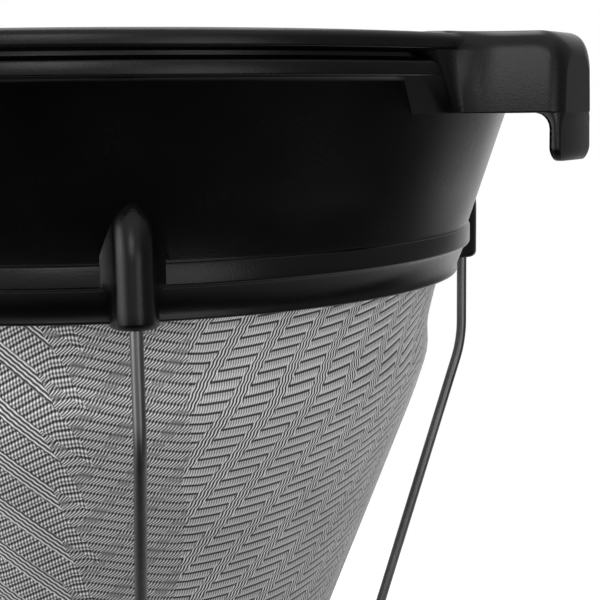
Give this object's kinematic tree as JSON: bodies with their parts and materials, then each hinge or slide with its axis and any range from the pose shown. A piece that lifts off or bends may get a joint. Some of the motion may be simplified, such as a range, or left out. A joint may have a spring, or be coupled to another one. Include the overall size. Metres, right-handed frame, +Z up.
{
  "type": "conical strainer",
  "caption": "Conical kitchen strainer with a black moulded collar, pan hook and long handle, a fine steel mesh cone and two bent steel guard wires that cross below its tip.",
  "frame": {"origin": "middle of the flat underside of the pan hook, where the strainer sits on a pan's edge", "axes": "+Z up along the bowl's axis, which stands at X = -103.8 mm; +X out of the bowl through the hook, so the handle points along -X"},
  "size_m": [0.407, 0.206, 0.2586],
  "materials": {
    "black_composite": "satin, lightly textured",
    "woven_steel": "fine woven stainless wire",
    "drawn_wire": "drawn stainless wire"
  },
  "bodies": {
    "root": {"frame": "black_composite", "mesh_basket": "woven_steel", "guard_wire_upper": "drawn_wire", "guard_wire_lower": "drawn_wire"}
  },
  "joints": []
}
